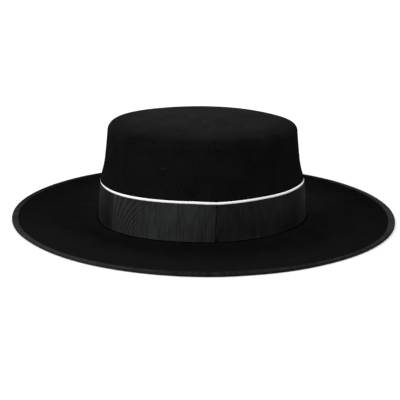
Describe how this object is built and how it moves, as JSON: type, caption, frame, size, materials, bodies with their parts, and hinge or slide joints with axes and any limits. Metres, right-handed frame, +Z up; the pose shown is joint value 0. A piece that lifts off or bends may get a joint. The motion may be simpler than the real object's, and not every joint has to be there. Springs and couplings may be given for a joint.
{
  "type": "gaucho hat",
  "caption": "Black felt hat with a flat round brim, a low crown with a flat top, a grosgrain hatband under a white piping, and a bound brim edge, open below for the head.",
  "frame": {"origin": "under the middle of the brim, on the surface that the hat rests on", "axes": "+Z up out of the crown, +X along the length of the head, -Y the side where the ends of the hatband meet"},
  "size_m": [0.373, 0.349, 0.0959],
  "materials": {
    "felt": "matt brushed wool felt",
    "band_ribbon": "ribbed grosgrain ribbon, low sheen",
    "white_piping": "smooth folded cotton tape",
    "binding_ribbon": "ribbed grosgrain ribbon, worn matt"
  },
  "bodies": {
    "root": {"felt_body": "felt", "hatband": "band_ribbon", "piping": "white_piping", "brim_binding": "binding_ribbon"}
  },
  "joints": []
}
